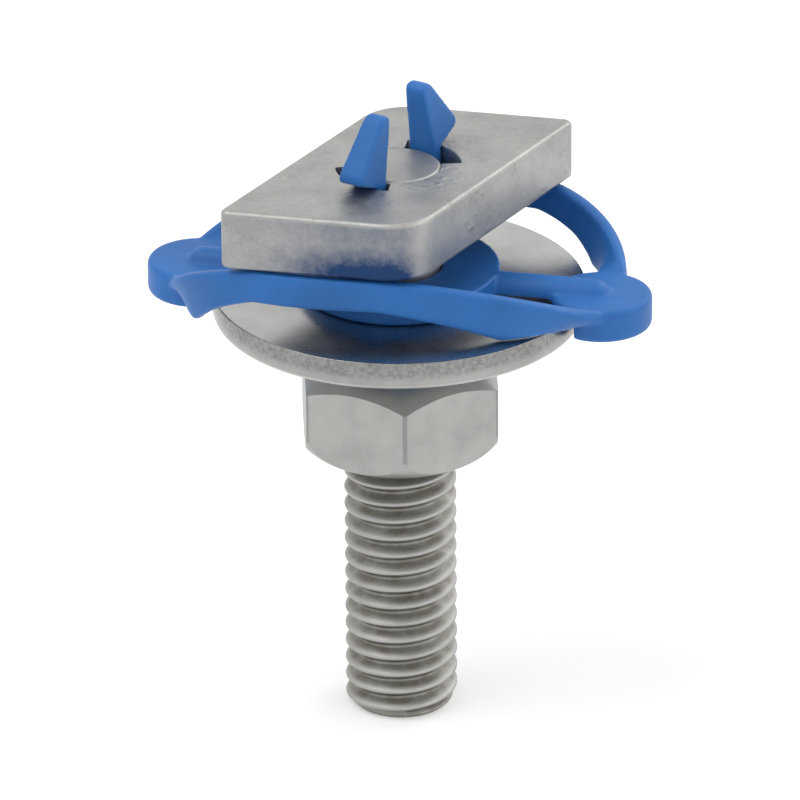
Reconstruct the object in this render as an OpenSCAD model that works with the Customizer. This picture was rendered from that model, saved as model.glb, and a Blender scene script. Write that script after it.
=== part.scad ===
// T-head channel bolt: a threaded stud staked into a parallelogram head plate,
// with a moulded spring clip, a wide washer and a hex nut.
// The stud stands on its end on the plane z = 0, with its axis along +Z.
// X runs along the clip and along the short sides of the head plate.

/* [Stud] */
// Diameter over the thread crests
thread_d = 5.9; // [4.9:0.1:7.9]
// Height of the stud's end face below the head plate's top
stud_length = 30.87; // [28:0.01:45]
// Rise of the thread in one turn
thread_pitch = 1; // [0.7:0.05:1.25]
// Depth of the thread, from its crests to its roots
thread_depth = 0.52; // [0.35:0.01:0.6]
// Direction in which the thread starts
thread_turn = 240; // [0:5:355]
// Size of the chamfer at the free end
end_chamfer = 0.25; // [0.1:0.05:0.5]
// Diameter of the plain neck between the thread and the head plate
neck_d = 4.4; // [3.8:0.1:4.8]

/* [Head plate] */
// Length of the short sides, along the clip
head_short = 10.4; // [9:0.05:12]
// Length of the long sides
head_long = 16.1; // [15:0.05:16.5]
// Angle between a short and a long side
head_angle = 70.5; // [65:0.5:80]
// Thickness of the plate
head_thickness = 3.2; // [2:0.1:4]
// Rounding of the two sharp corners
sharp_corner_r = 0.4; // [0.3:0.1:1.5]
// Rounding of the two blunt corners
blunt_corner_r = 2.7; // [1:0.1:4]

/* [Washer] */
// Outer diameter of the washer
washer_d = 19.4; // [17:0.1:20.5]
// Thickness of the washer
washer_thickness = 1.6; // [1:0.1:2.5]
// Distance from the head plate's top down to the washer's top
washer_drop = 6.8; // [6.3:0.05:8]
// Rounding of the washer's lower rim
washer_rim_r = 0.55; // [0.2:0.05:0.8]

/* [Nut] */
// Width of the nut across its flats
nut_flats = 10; // [9:0.1:13]
// Height of the nut
nut_height = 5; // [3:0.1:6.5]
// Free gap between the washer and the nut
nut_gap = 2.3; // [1.5:0.05:5]
// Slope of the nut's corner chamfer
nut_chamfer_angle = 35; // [20:1:40]
// Turn of the nut about the stud
nut_turn = 45; // [0:1:60]

/* [Spring clip] */
// Length over the two end pads
clip_length = 26.7; // [25.8:0.1:30]
// Radius of the round end pads
pad_r = 2.65; // [2.2:0.05:3]
// Thickness of the end pads
pad_thickness = 1.75; // [1.2:0.05:2.4]
// Height of the pads' top above the washer's top
pad_rise = 0.56; // [0.4:0.02:0.9]
// Width over the two spring strips, between their middles
strip_span = 14.2; // [13.5:0.1:15]
// Thickness of a spring strip
strip_thickness = 0.75; // [0.4:0.05:1]
// Height of a spring strip
strip_height = 1.75; // [1.2:0.05:2.2]
// Height of a strip's middle above the washer's top
strip_crown = 3.48; // [3:0.02:3.5]
// Turn of the strips' oval towards the plate's sharp corners
strip_turn = 7; // [0:0.5:8]
// Diameter of the hub disc on the washer
hub_d = 10.5; // [9.6:0.1:12]
// Thickness of the hub disc
hub_thickness = 1.18; // [0.8:0.02:1.5]
// Width of the round-topped spokes
spoke_width = 1.8; // [1:0.1:2.4]
// Wall of the sleeve that passes through the washer
sleeve_wall = 0.75; // [0.5:0.05:1]
// Reach of the snap bead below the washer
bead_reach = 0.35; // [0.15:0.05:0.5]

/* [Ears] */
// Direction of the ears, from the clip's length
ear_angle = 71; // [50:1:80]
// Width of an ear along the stud's circumference
ear_width = 1.5; // [1:0.1:2.2]
// Width of an ear's tip
ear_tip_width = 1; // [0.6:0.05:1]
// Radial thickness of an ear's stem
ear_stem = 0.85; // [0.6:0.05:1.2]
// Height of an ear above the head plate
ear_height = 3.7; // [3:0.1:5]
// Outward reach of an ear's barb beyond its stem
barb_reach = 1.7; // [0.5:0.05:2.2]
// Free gap between a barb and the head plate
barb_gap = 0.7; // [0.3:0.05:1.4]
// Sweep of the plate's slot ahead of an ear
slot_ahead = 33; // [30:1:60]

/* [Fits] */
// Radial running clearance of the nut on the thread
thread_clearance = 0.05; // [0.02:0.01:0.1]
// Radial clearance of the clip on the stud and in the washer
clip_clearance = 0.1; // [0.1:0.01:0.3]
// Clearance of an ear in the plate's slot
slot_clearance = 0.12; // [0.08:0.01:0.25]
// Clearance of the pads around the washer's rim
rim_clearance = 0.3; // [0.2:0.05:0.6]

/* [Hidden] */
$fn = 96;
overlap = 0.01;
past = 1;
thread_r = thread_d / 2;
neck_r = neck_d / 2;
washer_r = washer_d / 2;
hub_r = hub_d / 2;
head_bottom = stud_length - head_thickness;
washer_top = stud_length - washer_drop;
washer_bottom = washer_top - washer_thickness;
nut_top = washer_bottom - nut_gap;
nut_bottom = nut_top - nut_height;
hub_top = washer_top + hub_thickness;
// The thread runs out inside the hub, below the neck's bore
thread_end = washer_top;
root_r = thread_r - thread_depth;
thread_steps = 24;
thread_flank = thread_depth * tan(30);
thread_crest = 0.16;
thread_low = end_chamfer + 0.1;
thread_rise = thread_end - thread_low - 2 * thread_flank - thread_crest - 0.1;
thread_last = floor(thread_steps * thread_rise / thread_pitch);
collar_step = washer_top + hub_thickness / 2;
sleeve_bore_r = thread_r + clip_clearance;
sleeve_r = sleeve_bore_r + sleeve_wall;
washer_bore_r = sleeve_r + clip_clearance;
bead_r = washer_bore_r + bead_reach;
bead_height = 0.9;
bead_bottom = washer_bottom - bead_height;
pad_centre = clip_length / 2 - pad_r;
pad_top = washer_top + pad_rise;
pad_bottom = pad_top - pad_thickness;
// The strips run on one oval that passes just outside the pads' centres
oval_a = pad_centre + 0.7;
oval_b = strip_span / 2;
oval_power = 2.6;
oval_steps = 96;
strip_top = washer_top + strip_crown;
strip_arch = strip_top - pad_bottom;
strip_floor = (pad_bottom + pad_top) / 2 - 0.1;
arch_steps = 24;
spoke_r = spoke_width / 2;
spoke_end = pad_centre - 0.35;
pad_floor = washer_top + slot_clearance;
spoke_floor = washer_top + 2 * slot_clearance;
ear_inner = neck_r + clip_clearance;
ear_foot = (collar_step + hub_top) / 2;
hub_bore_r = neck_r + clip_clearance / 2;
ear_outer = ear_inner + ear_stem;
ear_top = stud_length + ear_height;
barb_bottom = stud_length + barb_gap;
barb_tip = ear_outer + barb_reach;
ear_nose = ear_stem + 0.15;
slot_outer = ear_outer + slot_clearance;
ear_half_angle = asin((ear_width / 2 + slot_clearance) / ear_inner);
nut_corner_r = nut_flats / 2 / cos(30);
nut_face_r = nut_flats / 2 * 0.95;
nut_chamfer = (nut_corner_r - nut_face_r) * tan(nut_chamfer_angle);
nut_bore_r = thread_r + thread_clearance;
nut_lead = 0.5;
corner_steps = 10;

steel = [0.69, 0.69, 0.67];
clip_blue = [0.24, 0.45, 0.72];

// Points of the arc that rounds corner p between its neighbours a and b
function unit(v) = v / norm(v);
function rounded(a, p, b, r) =
    let(u = unit(a - p), w = unit(b - p), half = acos(u * w) / 2)
    let(centre = p + unit(u + w) * r / sin(half), side = cross(u, w) > 0 ? 1 : -1)
    let(mid = atan2(p.y - centre.y, p.x - centre.x), sweep = 90 - half)
    [for (i = [0:corner_steps])
        let(t = mid + side * sweep * (1 - 2 * i / corner_steps))
        centre + r * [cos(t), sin(t)]];

function head_corners() =
    let(u = [head_short / 2, 0], w = head_long / 2 * [cos(head_angle), sin(head_angle)])
    [-u - w, u - w, u + w, -u + w];

function head_outline() =
    let(c = head_corners())
    [for (i = [0:3])
        each rounded(c[(i + 3) % 4], c[i], c[(i + 1) % 4], i % 2 == 0 ? sharp_corner_r : blunt_corner_r)];

// Oval through the strips: a superellipse whose sides are offset by d
function oval_side(t, power) = (t < 0 ? -1 : 1) * pow(abs(t), 2 / power);
function oval(d) =
    [for (i = [0:oval_steps - 1])
        let(t = 360 * i / oval_steps)
        [(oval_a + d) * oval_side(cos(t), oval_power), (oval_b + d) * oval_side(sin(t), oval_power)]];

// Heights of the strips' two edges at distance y from the clip's long axis; the lower one falls faster
function strip_share(y) = min(1, abs(y) / oval_b);
function strip_upper(y) =
    max(strip_floor + 0.2, strip_top - strip_arch * (1 - pow(strip_share(y), 1.15)));
function strip_lower(y) =
    max(strip_floor, strip_top - strip_height - strip_arch * (1 - pow(strip_share(y), 2.1)));

// Four points across the thread's ridge at step i of its helix, root to root
function ridge(i) =
    let(turn = 360 * i / thread_steps, z = thread_low + thread_pitch * i / thread_steps)
    let(fade = min(1, 2 * (i + 1) / thread_steps, 2 * (thread_last - i + 1) / thread_steps))
    let(out = root_r + thread_depth * fade, back = 2 * thread_flank + thread_crest)
    [for (p = [[root_r, 0], [out, thread_flank], [out, back - thread_flank], [root_r, back]])
        [p.x * cos(turn), p.x * sin(turn), z + p.y]];

// Ring of points round the stud's axis
function ring(r, z) =
    [for (i = [0:thread_steps - 1])
        let(turn = 360 * i / thread_steps)
        [r * cos(turn), r * sin(turn), z]];

// Triangles from one point to each step along a row of points
function fan(from, row) = [for (i = [0:len(row) - 2]) [from, row[i], row[i + 1]]];

// Right-hand thread on its core: the ridge is wound up a helix and the core shows between its turns
module thread() {
    n = thread_steps;
    last = thread_last;
    lead = 4 * (last + 1);
    floor_ring = lead + n;
    top_ring = lead + 2 * n;
    points = concat(
        [for (i = [0:last]) each ridge(i)],
        ring(root_r, end_chamfer),
        ring(root_r - end_chamfer, 0),
        ring(root_r, thread_end)
    );
    flanks = [for (i = [0:last - 1], k = [0:2])
        let(a = 4 * i + k, b = 4 * (i + 1) + k)
        each [[a, b, b + 1], [a, b + 1, a + 1]]];
    roots = [for (i = [0:last - n - 1])
        [4 * i + 3, 4 * i + 7, 4 * (i + n + 1), 4 * (i + n)]];
    start = concat(
        [for (i = [0:n - 2]) [lead + i, lead + i + 1, 4 * (i + 1), 4 * i]],
        fan(4 * (n - 1), [lead + n - 1, lead, 0, 3, 4 * n]),
        [[0, 1, 2, 3]]
    );
    first = last - n;
    finish = concat(
        [for (i = [first + 1:last - 1])
            [4 * i + 3, 4 * i + 7, top_ring + (i + 1) % n, top_ring + i % n]],
        fan(4 * first + 7, [top_ring + (first + 1) % n, top_ring + first % n, 4 * last + 3, 4 * last, 4 * first + 3]),
        [[4 * last + 3, 4 * last + 2, 4 * last + 1, 4 * last]]
    );
    ends = concat(
        [for (i = [0:n - 1]) [floor_ring + i, floor_ring + (i + 1) % n, lead + (i + 1) % n, lead + i]],
        [[for (i = [n - 1:-1:0]) floor_ring + i], [for (i = [0:n - 1]) top_ring + i]]
    );
    polyhedron(points, [for (f = concat(flanks, roots, start, finish, ends))
        [for (i = [len(f) - 1:-1:0]) f[i]]]);
}

module stud() {
    color(steel) union() {
        rotate([0, 0, thread_turn]) thread();
        translate([0, 0, thread_end - past]) cylinder(r = neck_r, h = stud_length - thread_end + past);
    }
}

// Half-round slots beside the stud let the clip's ears through the plate
module ear_slot() {
    rotate([0, 0, ear_angle - ear_half_angle - slot_ahead])
        translate([0, 0, head_bottom - past])
            rotate_extrude(angle = 2 * ear_half_angle + slot_ahead)
                translate([neck_r - overlap, 0])
                    square([slot_outer - neck_r + overlap, head_thickness + 2 * past]);
}

module head_plate() {
    color(steel) difference() {
        translate([0, 0, head_bottom]) linear_extrude(head_thickness) polygon(head_outline());
        translate([0, 0, head_bottom - past]) cylinder(r = neck_r, h = head_thickness + 2 * past);
        for (turn = [0, 180]) rotate([0, 0, turn]) ear_slot();
    }
}

module washer() {
    rim = [for (i = [0:corner_steps])
        let(t = 270 + 90 * i / corner_steps)
        [washer_r - washer_rim_r + washer_rim_r * cos(t), washer_bottom + washer_rim_r * (1 + sin(t))]];
    color(steel) rotate_extrude() polygon(concat(
        [[washer_bore_r, washer_top], [washer_bore_r, washer_bottom]],
        rim,
        [[washer_r, washer_top]]
    ));
}

module hex_nut() {
    color(steel) difference() {
        intersection() {
            translate([0, 0, nut_bottom]) rotate([0, 0, nut_turn])
                cylinder(r = nut_corner_r, h = nut_height, $fn = 6);
            rotate_extrude() polygon([
                [0, nut_bottom],
                [nut_face_r, nut_bottom],
                [nut_corner_r + overlap, nut_bottom + nut_chamfer],
                [nut_corner_r + overlap, nut_top - nut_chamfer],
                [nut_face_r, nut_top],
                [0, nut_top]
            ]);
        }
        translate([0, 0, nut_bottom - past]) cylinder(r = nut_bore_r, h = nut_height + 2 * past);
        translate([0, 0, nut_top - nut_lead]) cylinder(r1 = nut_bore_r, r2 = nut_bore_r + nut_lead, h = nut_lead);
        translate([0, 0, nut_bottom]) cylinder(r1 = nut_bore_r + nut_lead, r2 = nut_bore_r, h = nut_lead);
    }
}

// Room for the washer's rim inside the pads and the strips' bends
module rim_room() {
    translate([0, 0, pad_bottom - past])
        cylinder(r = washer_r + rim_clearance, h = pad_floor - pad_bottom + past);
}

// Both bowed strips: an oval wall trimmed between two curves seen from the end
module strips() {
    reach = oval_b + strip_thickness + oval_a * sin(strip_turn);
    ys = [for (i = [-arch_steps:arch_steps]) reach * i / arch_steps];
    difference() {
        intersection() {
            translate([0, 0, pad_bottom - past]) linear_extrude(strip_top + past - pad_bottom + past) difference() {
                rotate(strip_turn) polygon(oval(strip_thickness / 2));
                rotate(strip_turn) polygon(oval(-strip_thickness / 2));
                square([clip_length, 2 * (pad_r - strip_thickness)], center = true);
            }
            rotate([90, 0, 90]) translate([0, 0, -clip_length / 2]) linear_extrude(clip_length) polygon(concat(
                [for (y = ys) [y, strip_lower(y)]],
                [for (i = [len(ys) - 1:-1:0]) [ys[i], strip_upper(ys[i])]]
            ));
        }
        rim_room();
    }
}

// Spoke with a round top and a domed outer end, turned about its own axis
module spoke() {
    length = spoke_end - hub_r + past;
    dome = [for (i = [0:corner_steps])
        let(t = 90 * i / corner_steps)
        [spoke_r * cos(t), length + spoke_r * sin(t)]];
    intersection() {
        translate([hub_r - past, 0, hub_top - spoke_r]) rotate([0, 90, 0]) rotate_extrude()
            polygon(concat([[0, 0], [spoke_r, 0]], dome));
        translate([0, -spoke_width, spoke_floor]) cube([clip_length, 2 * spoke_width, hub_thickness + past]);
    }
}

// Pad on the +X side, its inner edge cut back round the washer's rim
module pad() {
    difference() {
        translate([pad_centre, 0, pad_bottom]) cylinder(r = pad_r, h = pad_thickness);
        rim_room();
    }
}

// Stem and barb on the +X side: a radial profile, narrowed to its tip on one side
module ear() {
    half = ear_width / 2;
    lip = barb_bottom + barb_reach / 4;
    intersection() {
        rotate([90, 0, 0]) translate([0, 0, -ear_width]) linear_extrude(2 * ear_width) polygon([
            [ear_inner, ear_foot],
            [ear_outer, ear_foot],
            [ear_outer, stud_length],
            [barb_tip, barb_bottom],
            [barb_tip, lip],
            [ear_inner + ear_nose, ear_top - ear_nose / 4],
            [ear_inner + ear_nose * 3 / 4, ear_top],
            [ear_inner + ear_nose / 4, ear_top],
            [ear_inner, ear_top - ear_nose / 4]
        ]);
        rotate([90, 0, 90]) linear_extrude(barb_tip + past) polygon([
            [-half, ear_foot - past],
            [half, ear_foot - past],
            [half, ear_top + past],
            [half - ear_tip_width, ear_top + past],
            [-half, barb_bottom]
        ]);
    }
}

// Disc on the washer with a sleeve and snap bead through it; the bore steps in above the thread
module hub() {
    rotate_extrude() polygon([
        [hub_bore_r, hub_top],
        [hub_bore_r, collar_step],
        [sleeve_bore_r, collar_step],
        [sleeve_bore_r, bead_bottom],
        [sleeve_r, bead_bottom],
        [bead_r, washer_bottom - bead_height / 2],
        [bead_r, washer_bottom],
        [sleeve_r, washer_bottom],
        [sleeve_r, washer_top],
        [hub_r, washer_top],
        [hub_r, hub_top]
    ]);
}

module retaining_clip() {
    color(clip_blue) union() {
        hub();
        strips();
        for (turn = [0, 180]) rotate([0, 0, turn]) {
            pad();
            spoke();
            rotate([0, 0, ear_angle]) ear();
        }
    }
}

stud();
head_plate();
retaining_clip();
washer();
hex_nut();
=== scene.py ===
"""Dresses the T-head bolt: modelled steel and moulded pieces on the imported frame, in a studio."""

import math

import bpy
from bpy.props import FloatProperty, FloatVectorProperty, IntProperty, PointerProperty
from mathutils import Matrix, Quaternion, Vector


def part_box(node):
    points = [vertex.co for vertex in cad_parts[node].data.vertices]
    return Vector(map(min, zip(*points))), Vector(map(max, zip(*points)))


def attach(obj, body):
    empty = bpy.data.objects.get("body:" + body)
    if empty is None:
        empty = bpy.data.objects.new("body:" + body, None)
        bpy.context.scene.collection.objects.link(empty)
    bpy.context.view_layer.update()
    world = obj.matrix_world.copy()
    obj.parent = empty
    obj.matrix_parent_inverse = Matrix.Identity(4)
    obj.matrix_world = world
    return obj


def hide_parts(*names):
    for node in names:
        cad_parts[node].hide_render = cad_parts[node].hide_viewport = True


bl_info = {
    "name": "T-head bolt",
    "version": (1, 0, 0),
    "blender": (4, 5, 0),
    "location": "View3D > Sidebar > T-head bolt",
    "description": "Models the finished pieces of a T-head channel bolt around its construction frame",
    "category": "Object",
}

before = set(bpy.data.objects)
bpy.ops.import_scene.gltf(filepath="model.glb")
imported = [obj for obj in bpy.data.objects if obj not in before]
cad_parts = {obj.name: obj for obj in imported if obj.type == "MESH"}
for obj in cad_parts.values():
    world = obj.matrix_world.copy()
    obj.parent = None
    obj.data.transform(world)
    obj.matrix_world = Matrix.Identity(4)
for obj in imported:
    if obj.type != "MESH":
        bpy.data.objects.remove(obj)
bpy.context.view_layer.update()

MM = 0.001
TAU = math.tau
# Points nearer than this are one point
WELD = 0.5e-6
# A cut's own tolerance, finer to keep the thread's faces apart
SLICE = WELD / 10

_, STUD_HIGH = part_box("stud")
HEAD_LOW, HEAD_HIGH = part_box("head_plate")
_, CLIP_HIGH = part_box("retaining_clip")
WASHER_LOW, WASHER_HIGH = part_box("washer")
NUT_LOW, NUT_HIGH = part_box("hex_nut")


# Sizes and colours that a user would change

class StudSizes(bpy.types.PropertyGroup):
    """Sizes of the threaded stud."""
    pitch: FloatProperty(
        name="Pitch", description="Rise of the thread in one turn", default=1.0 * MM, unit="LENGTH")
    depth: FloatProperty(name="Thread depth", description="Crest to root", default=0.52 * MM, unit="LENGTH")
    crest: FloatProperty(
        name="Crest radius", description="Radius over the crests", default=STUD_HIGH.x, unit="LENGTH")
    neck: FloatProperty(
        name="Neck radius", description="Plain neck under the plate", default=2.2 * MM, unit="LENGTH")
    chamfer: FloatProperty(
        name="End chamfer", description="Length of the end's chamfer", default=0.45 * MM, unit="LENGTH")
    phase: FloatProperty(
        name="Start angle", description="Where the thread starts", default=math.radians(156), subtype="ANGLE")
    steps: IntProperty(name="Steps", description="Faces in one turn", default=72)


class HeadSizes(bpy.types.PropertyGroup):
    """Sizes of the parallelogram head plate."""
    short: FloatProperty(
        name="Short side", description="Side along the clip", default=10.4 * MM, unit="LENGTH")
    long: FloatProperty(name="Long side", description="Slanted side", default=16.1 * MM, unit="LENGTH")
    slant: FloatProperty(
        name="Slant", description="Angle between the sides", default=math.radians(70.5), subtype="ANGLE")
    sharp: FloatProperty(
        name="Sharp corner", description="Radius of the sharp corners", default=0.45 * MM, unit="LENGTH")
    blunt: FloatProperty(
        name="Blunt corner", description="Radius of the blunt corners", default=2.7 * MM, unit="LENGTH")
    edge: FloatProperty(
        name="Worn edge", description="Rounding of the edges", default=0.24 * MM, unit="LENGTH")
    slot_from: FloatProperty(
        name="Slot start", description="Where an ear slot starts",
        default=math.radians(15.8), subtype="ANGLE")
    slot_sweep: FloatProperty(
        name="Slot sweep", description="How far an ear slot runs",
        default=math.radians(77.5), subtype="ANGLE")
    slot_outer: FloatProperty(
        name="Slot radius", description="Outer wall of the ear slots", default=3.27 * MM, unit="LENGTH")


class WasherSizes(bpy.types.PropertyGroup):
    """Sizes of the wide washer."""
    bore: FloatProperty(
        name="Bore radius", description="Radius of the hole", default=3.9 * MM, unit="LENGTH")
    rim: FloatProperty(
        name="Rolled rim", description="Rounding of the lower rim", default=0.55 * MM, unit="LENGTH")
    edge: FloatProperty(
        name="Sheared edge", description="Rounding of the upper rim", default=0.07 * MM, unit="LENGTH")


class NutSizes(bpy.types.PropertyGroup):
    """Sizes of the hex nut."""
    flats: FloatProperty(name="Flats", description="Width across flats", default=10.0 * MM, unit="LENGTH")
    turn: FloatProperty(
        name="Turn", description="Turn about the stud", default=math.radians(45), subtype="ANGLE")
    slope: FloatProperty(
        name="Chamfer slope", description="Slope of the corner chamfer",
        default=math.radians(35), subtype="ANGLE")
    face: FloatProperty(
        name="Face share", description="Upper face's radius as a share of the half flats", default=0.86)
    foot: FloatProperty(
        name="Foot share", description="Lower face's radius as a share of the half flats", default=0.95)
    bore: FloatProperty(
        name="Bore radius", description="Radius of the hole", default=3.0 * MM, unit="LENGTH")
    lead: FloatProperty(
        name="Lead-in", description="Countersink at both ends", default=0.5 * MM, unit="LENGTH")
    edge: FloatProperty(name="Edge", description="Rounding of the edges", default=0.09 * MM, unit="LENGTH")
    corner: FloatProperty(
        name="Corner", description="Rounding of the upright corners", default=0.16 * MM, unit="LENGTH")


class ClipSizes(bpy.types.PropertyGroup):
    """Sizes of the moulded spring clip."""
    pad: FloatProperty(
        name="Pad radius", description="Radius of the end pads", default=2.65 * MM, unit="LENGTH")
    pad_thick: FloatProperty(
        name="Pad thickness", description="Thickness of the end pads", default=1.75 * MM, unit="LENGTH")
    pad_rise: FloatProperty(
        name="Pad rise", description="Pads' top above the washer", default=0.56 * MM, unit="LENGTH")
    strip_thick: FloatProperty(
        name="Strip thickness", description="Thickness of the bowed strips", default=0.75 * MM, unit="LENGTH")
    strip_tall: FloatProperty(
        name="Strip height", description="Height of the bowed strips", default=1.75 * MM, unit="LENGTH")
    strip_span: FloatProperty(
        name="Strip span", description="Width between the strips' middles", default=14.2 * MM, unit="LENGTH")
    crown: FloatProperty(
        name="Crown", description="Strips' top above the washer", default=3.48 * MM, unit="LENGTH")
    turn: FloatProperty(
        name="Turn", description="Turn of the strips' oval to the plate's sharp corners",
        default=math.radians(7), subtype="ANGLE")
    twist: FloatProperty(
        name="Twist", description="Inward shift of the strips' lower edge towards the pads",
        default=2.2 * MM, unit="LENGTH")
    power: FloatProperty(name="Oval power", description="Squareness of the strips' oval", default=2.6)
    hub: FloatProperty(
        name="Hub radius", description="Radius of the hub disc", default=5.25 * MM, unit="LENGTH")
    hub_thick: FloatProperty(
        name="Hub thickness", description="Thickness of the hub disc", default=1.18 * MM, unit="LENGTH")
    spoke: FloatProperty(
        name="Spoke radius", description="Half the width of a spoke", default=0.9 * MM, unit="LENGTH")
    sleeve: FloatProperty(
        name="Sleeve radius", description="Sleeve through the washer", default=3.8 * MM, unit="LENGTH")
    ear_angle: FloatProperty(
        name="Ear direction", description="Direction of the ears", default=math.radians(71), subtype="ANGLE")
    ear_wide: FloatProperty(
        name="Ear width", description="Width of an ear", default=1.5 * MM, unit="LENGTH")
    ear_tip: FloatProperty(
        name="Ear tip", description="Width of an ear's tip", default=1.0 * MM, unit="LENGTH")
    ear_lean: FloatProperty(
        name="Ear lean", description="Inward lean of the ears' noses", default=0.45 * MM, unit="LENGTH")
    edge: FloatProperty(name="Edge", description="Rounding of the edges", default=0.22 * MM, unit="LENGTH")
    voxel: FloatProperty(
        name="Fillet grain", description="Grain of the fused fillets", default=0.106 * MM, unit="LENGTH")


class Finishes(bpy.types.PropertyGroup):
    """Colours of the finishes."""
    steel: FloatVectorProperty(
        name="Steel", description="Satin steel", subtype="COLOR", default=(0.42, 0.42, 0.405))
    # Dark brown for the thread's roots and lower flanks: partly grime, partly painted shade
    grime_and_shade: FloatVectorProperty(
        name="Thread grime", description="Dark residue in the thread's roots",
        subtype="COLOR", default=(0.19, 0.18, 0.15))
    # Dark blue painted on the plate's lower walls as a painted reflection of the blue clip
    painted_reflection: FloatVectorProperty(
        name="Plate film", description="Blue film on the plate's walls",
        subtype="COLOR", default=(0.022, 0.052, 0.135))
    blue: FloatVectorProperty(
        name="Clip", description="Moulded blue plastic", subtype="COLOR", default=(0.021, 0.162, 0.51))
    floor: FloatVectorProperty(
        name="Floor", description="Pale floor", subtype="COLOR", default=(0.93, 0.93, 0.93))


class StageSizes(bpy.types.PropertyGroup):
    """The camera and the floor."""
    azimuth: FloatProperty(
        name="Azimuth", description="Camera's turn about the bolt",
        default=math.radians(12.4), subtype="ANGLE")
    elevation: FloatProperty(
        name="Elevation", description="Camera's height angle", default=math.radians(25.6), subtype="ANGLE")
    distance: FloatProperty(
        name="Distance", description="Camera to bolt", default=477.0 * MM, unit="LENGTH")
    lens: FloatProperty(name="Lens", description="Focal length in millimetres", default=410.8)
    aim: FloatProperty(
        name="Aim", description="Height that the camera looks at", default=17.4 * MM, unit="LENGTH")
    roll: FloatProperty(
        name="Roll", description="Camera's turn about its own view",
        default=math.radians(-0.4), subtype="ANGLE")
    aside: FloatProperty(
        name="Aside", description="Shift of the aim to the right", default=0.015 * MM, unit="LENGTH")


SETTINGS = {
    "tbolt_stud": StudSizes,
    "tbolt_head": HeadSizes,
    "tbolt_washer": WasherSizes,
    "tbolt_nut": NutSizes,
    "tbolt_clip": ClipSizes,
    "tbolt_finish": Finishes,
    "tbolt_stage": StageSizes,
}


# Modelling helpers

def deselect():
    """Leaves edit mode and selects nothing."""
    if bpy.context.object and bpy.context.object.mode != "OBJECT":
        bpy.ops.object.mode_set(mode="OBJECT")
    bpy.ops.object.select_all(action="DESELECT")


def pick(piece):
    """Makes one piece the only selected and the active one."""
    deselect()
    piece.select_set(True)
    bpy.context.view_layer.objects.active = piece


def edit(piece):
    """Opens a piece in edit mode with everything selected."""
    pick(piece)
    bpy.ops.object.mode_set(mode="EDIT")
    bpy.ops.mesh.select_mode(type="VERT")
    bpy.ops.mesh.select_all(action="SELECT")


def trace(name, points, close=False, fill=False):
    """Draws a line through points by extruding one vertex from point to point."""
    deselect()
    bpy.ops.mesh.primitive_plane_add(size=MM)
    piece = bpy.context.object
    piece.name = name
    edit(piece)
    bpy.ops.mesh.merge(type="CENTER")
    bpy.ops.transform.translate(value=points[0])
    for here, there in zip(points, points[1:]):
        step = Vector(there) - Vector(here)
        bpy.ops.mesh.extrude_region_move(TRANSFORM_OT_translate={"value": step})
    if close or fill:
        bpy.ops.object.mode_set(mode="OBJECT")
        for i in (0, len(points) - 1):
            piece.data.vertices[i].select = True
        bpy.ops.object.mode_set(mode="EDIT")
        bpy.ops.mesh.select_mode(type="VERT")
        bpy.ops.mesh.edge_face_add()
    if fill:
        bpy.ops.mesh.select_all(action="SELECT")
        bpy.ops.mesh.edge_face_add()
    return piece


def tidy_normals(piece):
    """Merges doubles and points the faces outwards."""
    edit(piece)
    bpy.ops.mesh.remove_doubles(threshold=WELD)
    bpy.ops.mesh.normals_make_consistent(inside=False)
    deselect()


def turn_on_lathe(name, profile, steps=128, close=False, axis=(0, 0, 1)):
    """Turns a profile of (radius, height) points once round an axis."""
    if axis == (0, 0, 1):
        points = [(r, 0, z) for r, z in profile]
    else:
        points = [(z, r, 0) for r, z in profile]
    piece = trace(name, points, close=close)
    bpy.ops.mesh.select_all(action="SELECT")
    bpy.ops.mesh.spin(steps=steps, angle=TAU, center=(0, 0, 0), axis=axis)
    tidy_normals(piece)
    return piece


def use_modifier(piece, kind, **settings):
    """Adds a modifier, sets it up and applies it."""
    modifier = piece.modifiers.new(kind.title(), kind)
    for name, value in settings.items():
        setattr(modifier, name, value)
    pick(piece)
    bpy.ops.object.modifier_apply(modifier=modifier.name)


def cut(piece, tool, operation="DIFFERENCE"):
    """Cuts one solid with another, which is used up."""
    use_modifier(piece, "BOOLEAN", object=tool, operation=operation, solver="EXACT")
    bpy.data.objects.remove(tool)


def round_edges(piece, width, segments, angle, clamp=True):
    """Rounds every edge sharper than an angle in degrees."""
    use_modifier(piece, "BEVEL", width=width, segments=segments, limit_method="ANGLE",
                 angle_limit=math.radians(angle), harden_normals=False, use_clamp_overlap=clamp)


def smooth(piece, angle):
    """Shades a piece smooth, apart from edges sharper than an angle in degrees."""
    pick(piece)
    bpy.ops.object.shade_smooth_by_angle(angle=math.radians(angle))


def even_normals(piece):
    """Keeps flat faces flat beside their rounded edges."""
    use_modifier(piece, "WEIGHTED_NORMAL", mode="FACE_AREA", weight=100, keep_sharp=True)


def arc(centre, radius, start, end, steps):
    """Points of a plane arc, from start to end in degrees."""
    turns = [math.radians(start + (end - start) * i / steps) for i in range(steps + 1)]
    return [(centre[0] + radius * math.cos(t), centre[1] + radius * math.sin(t)) for t in turns]


def hand_over(piece, node, body, material):
    """Puts a finished piece on its body in place of its plain solid."""
    pick(piece)
    bpy.ops.object.transform_apply(location=True, rotation=True, scale=True)
    piece.data.materials.clear()
    piece.data.materials.append(material)
    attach(piece, body)
    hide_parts(node)
    deselect()


# Materials

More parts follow.
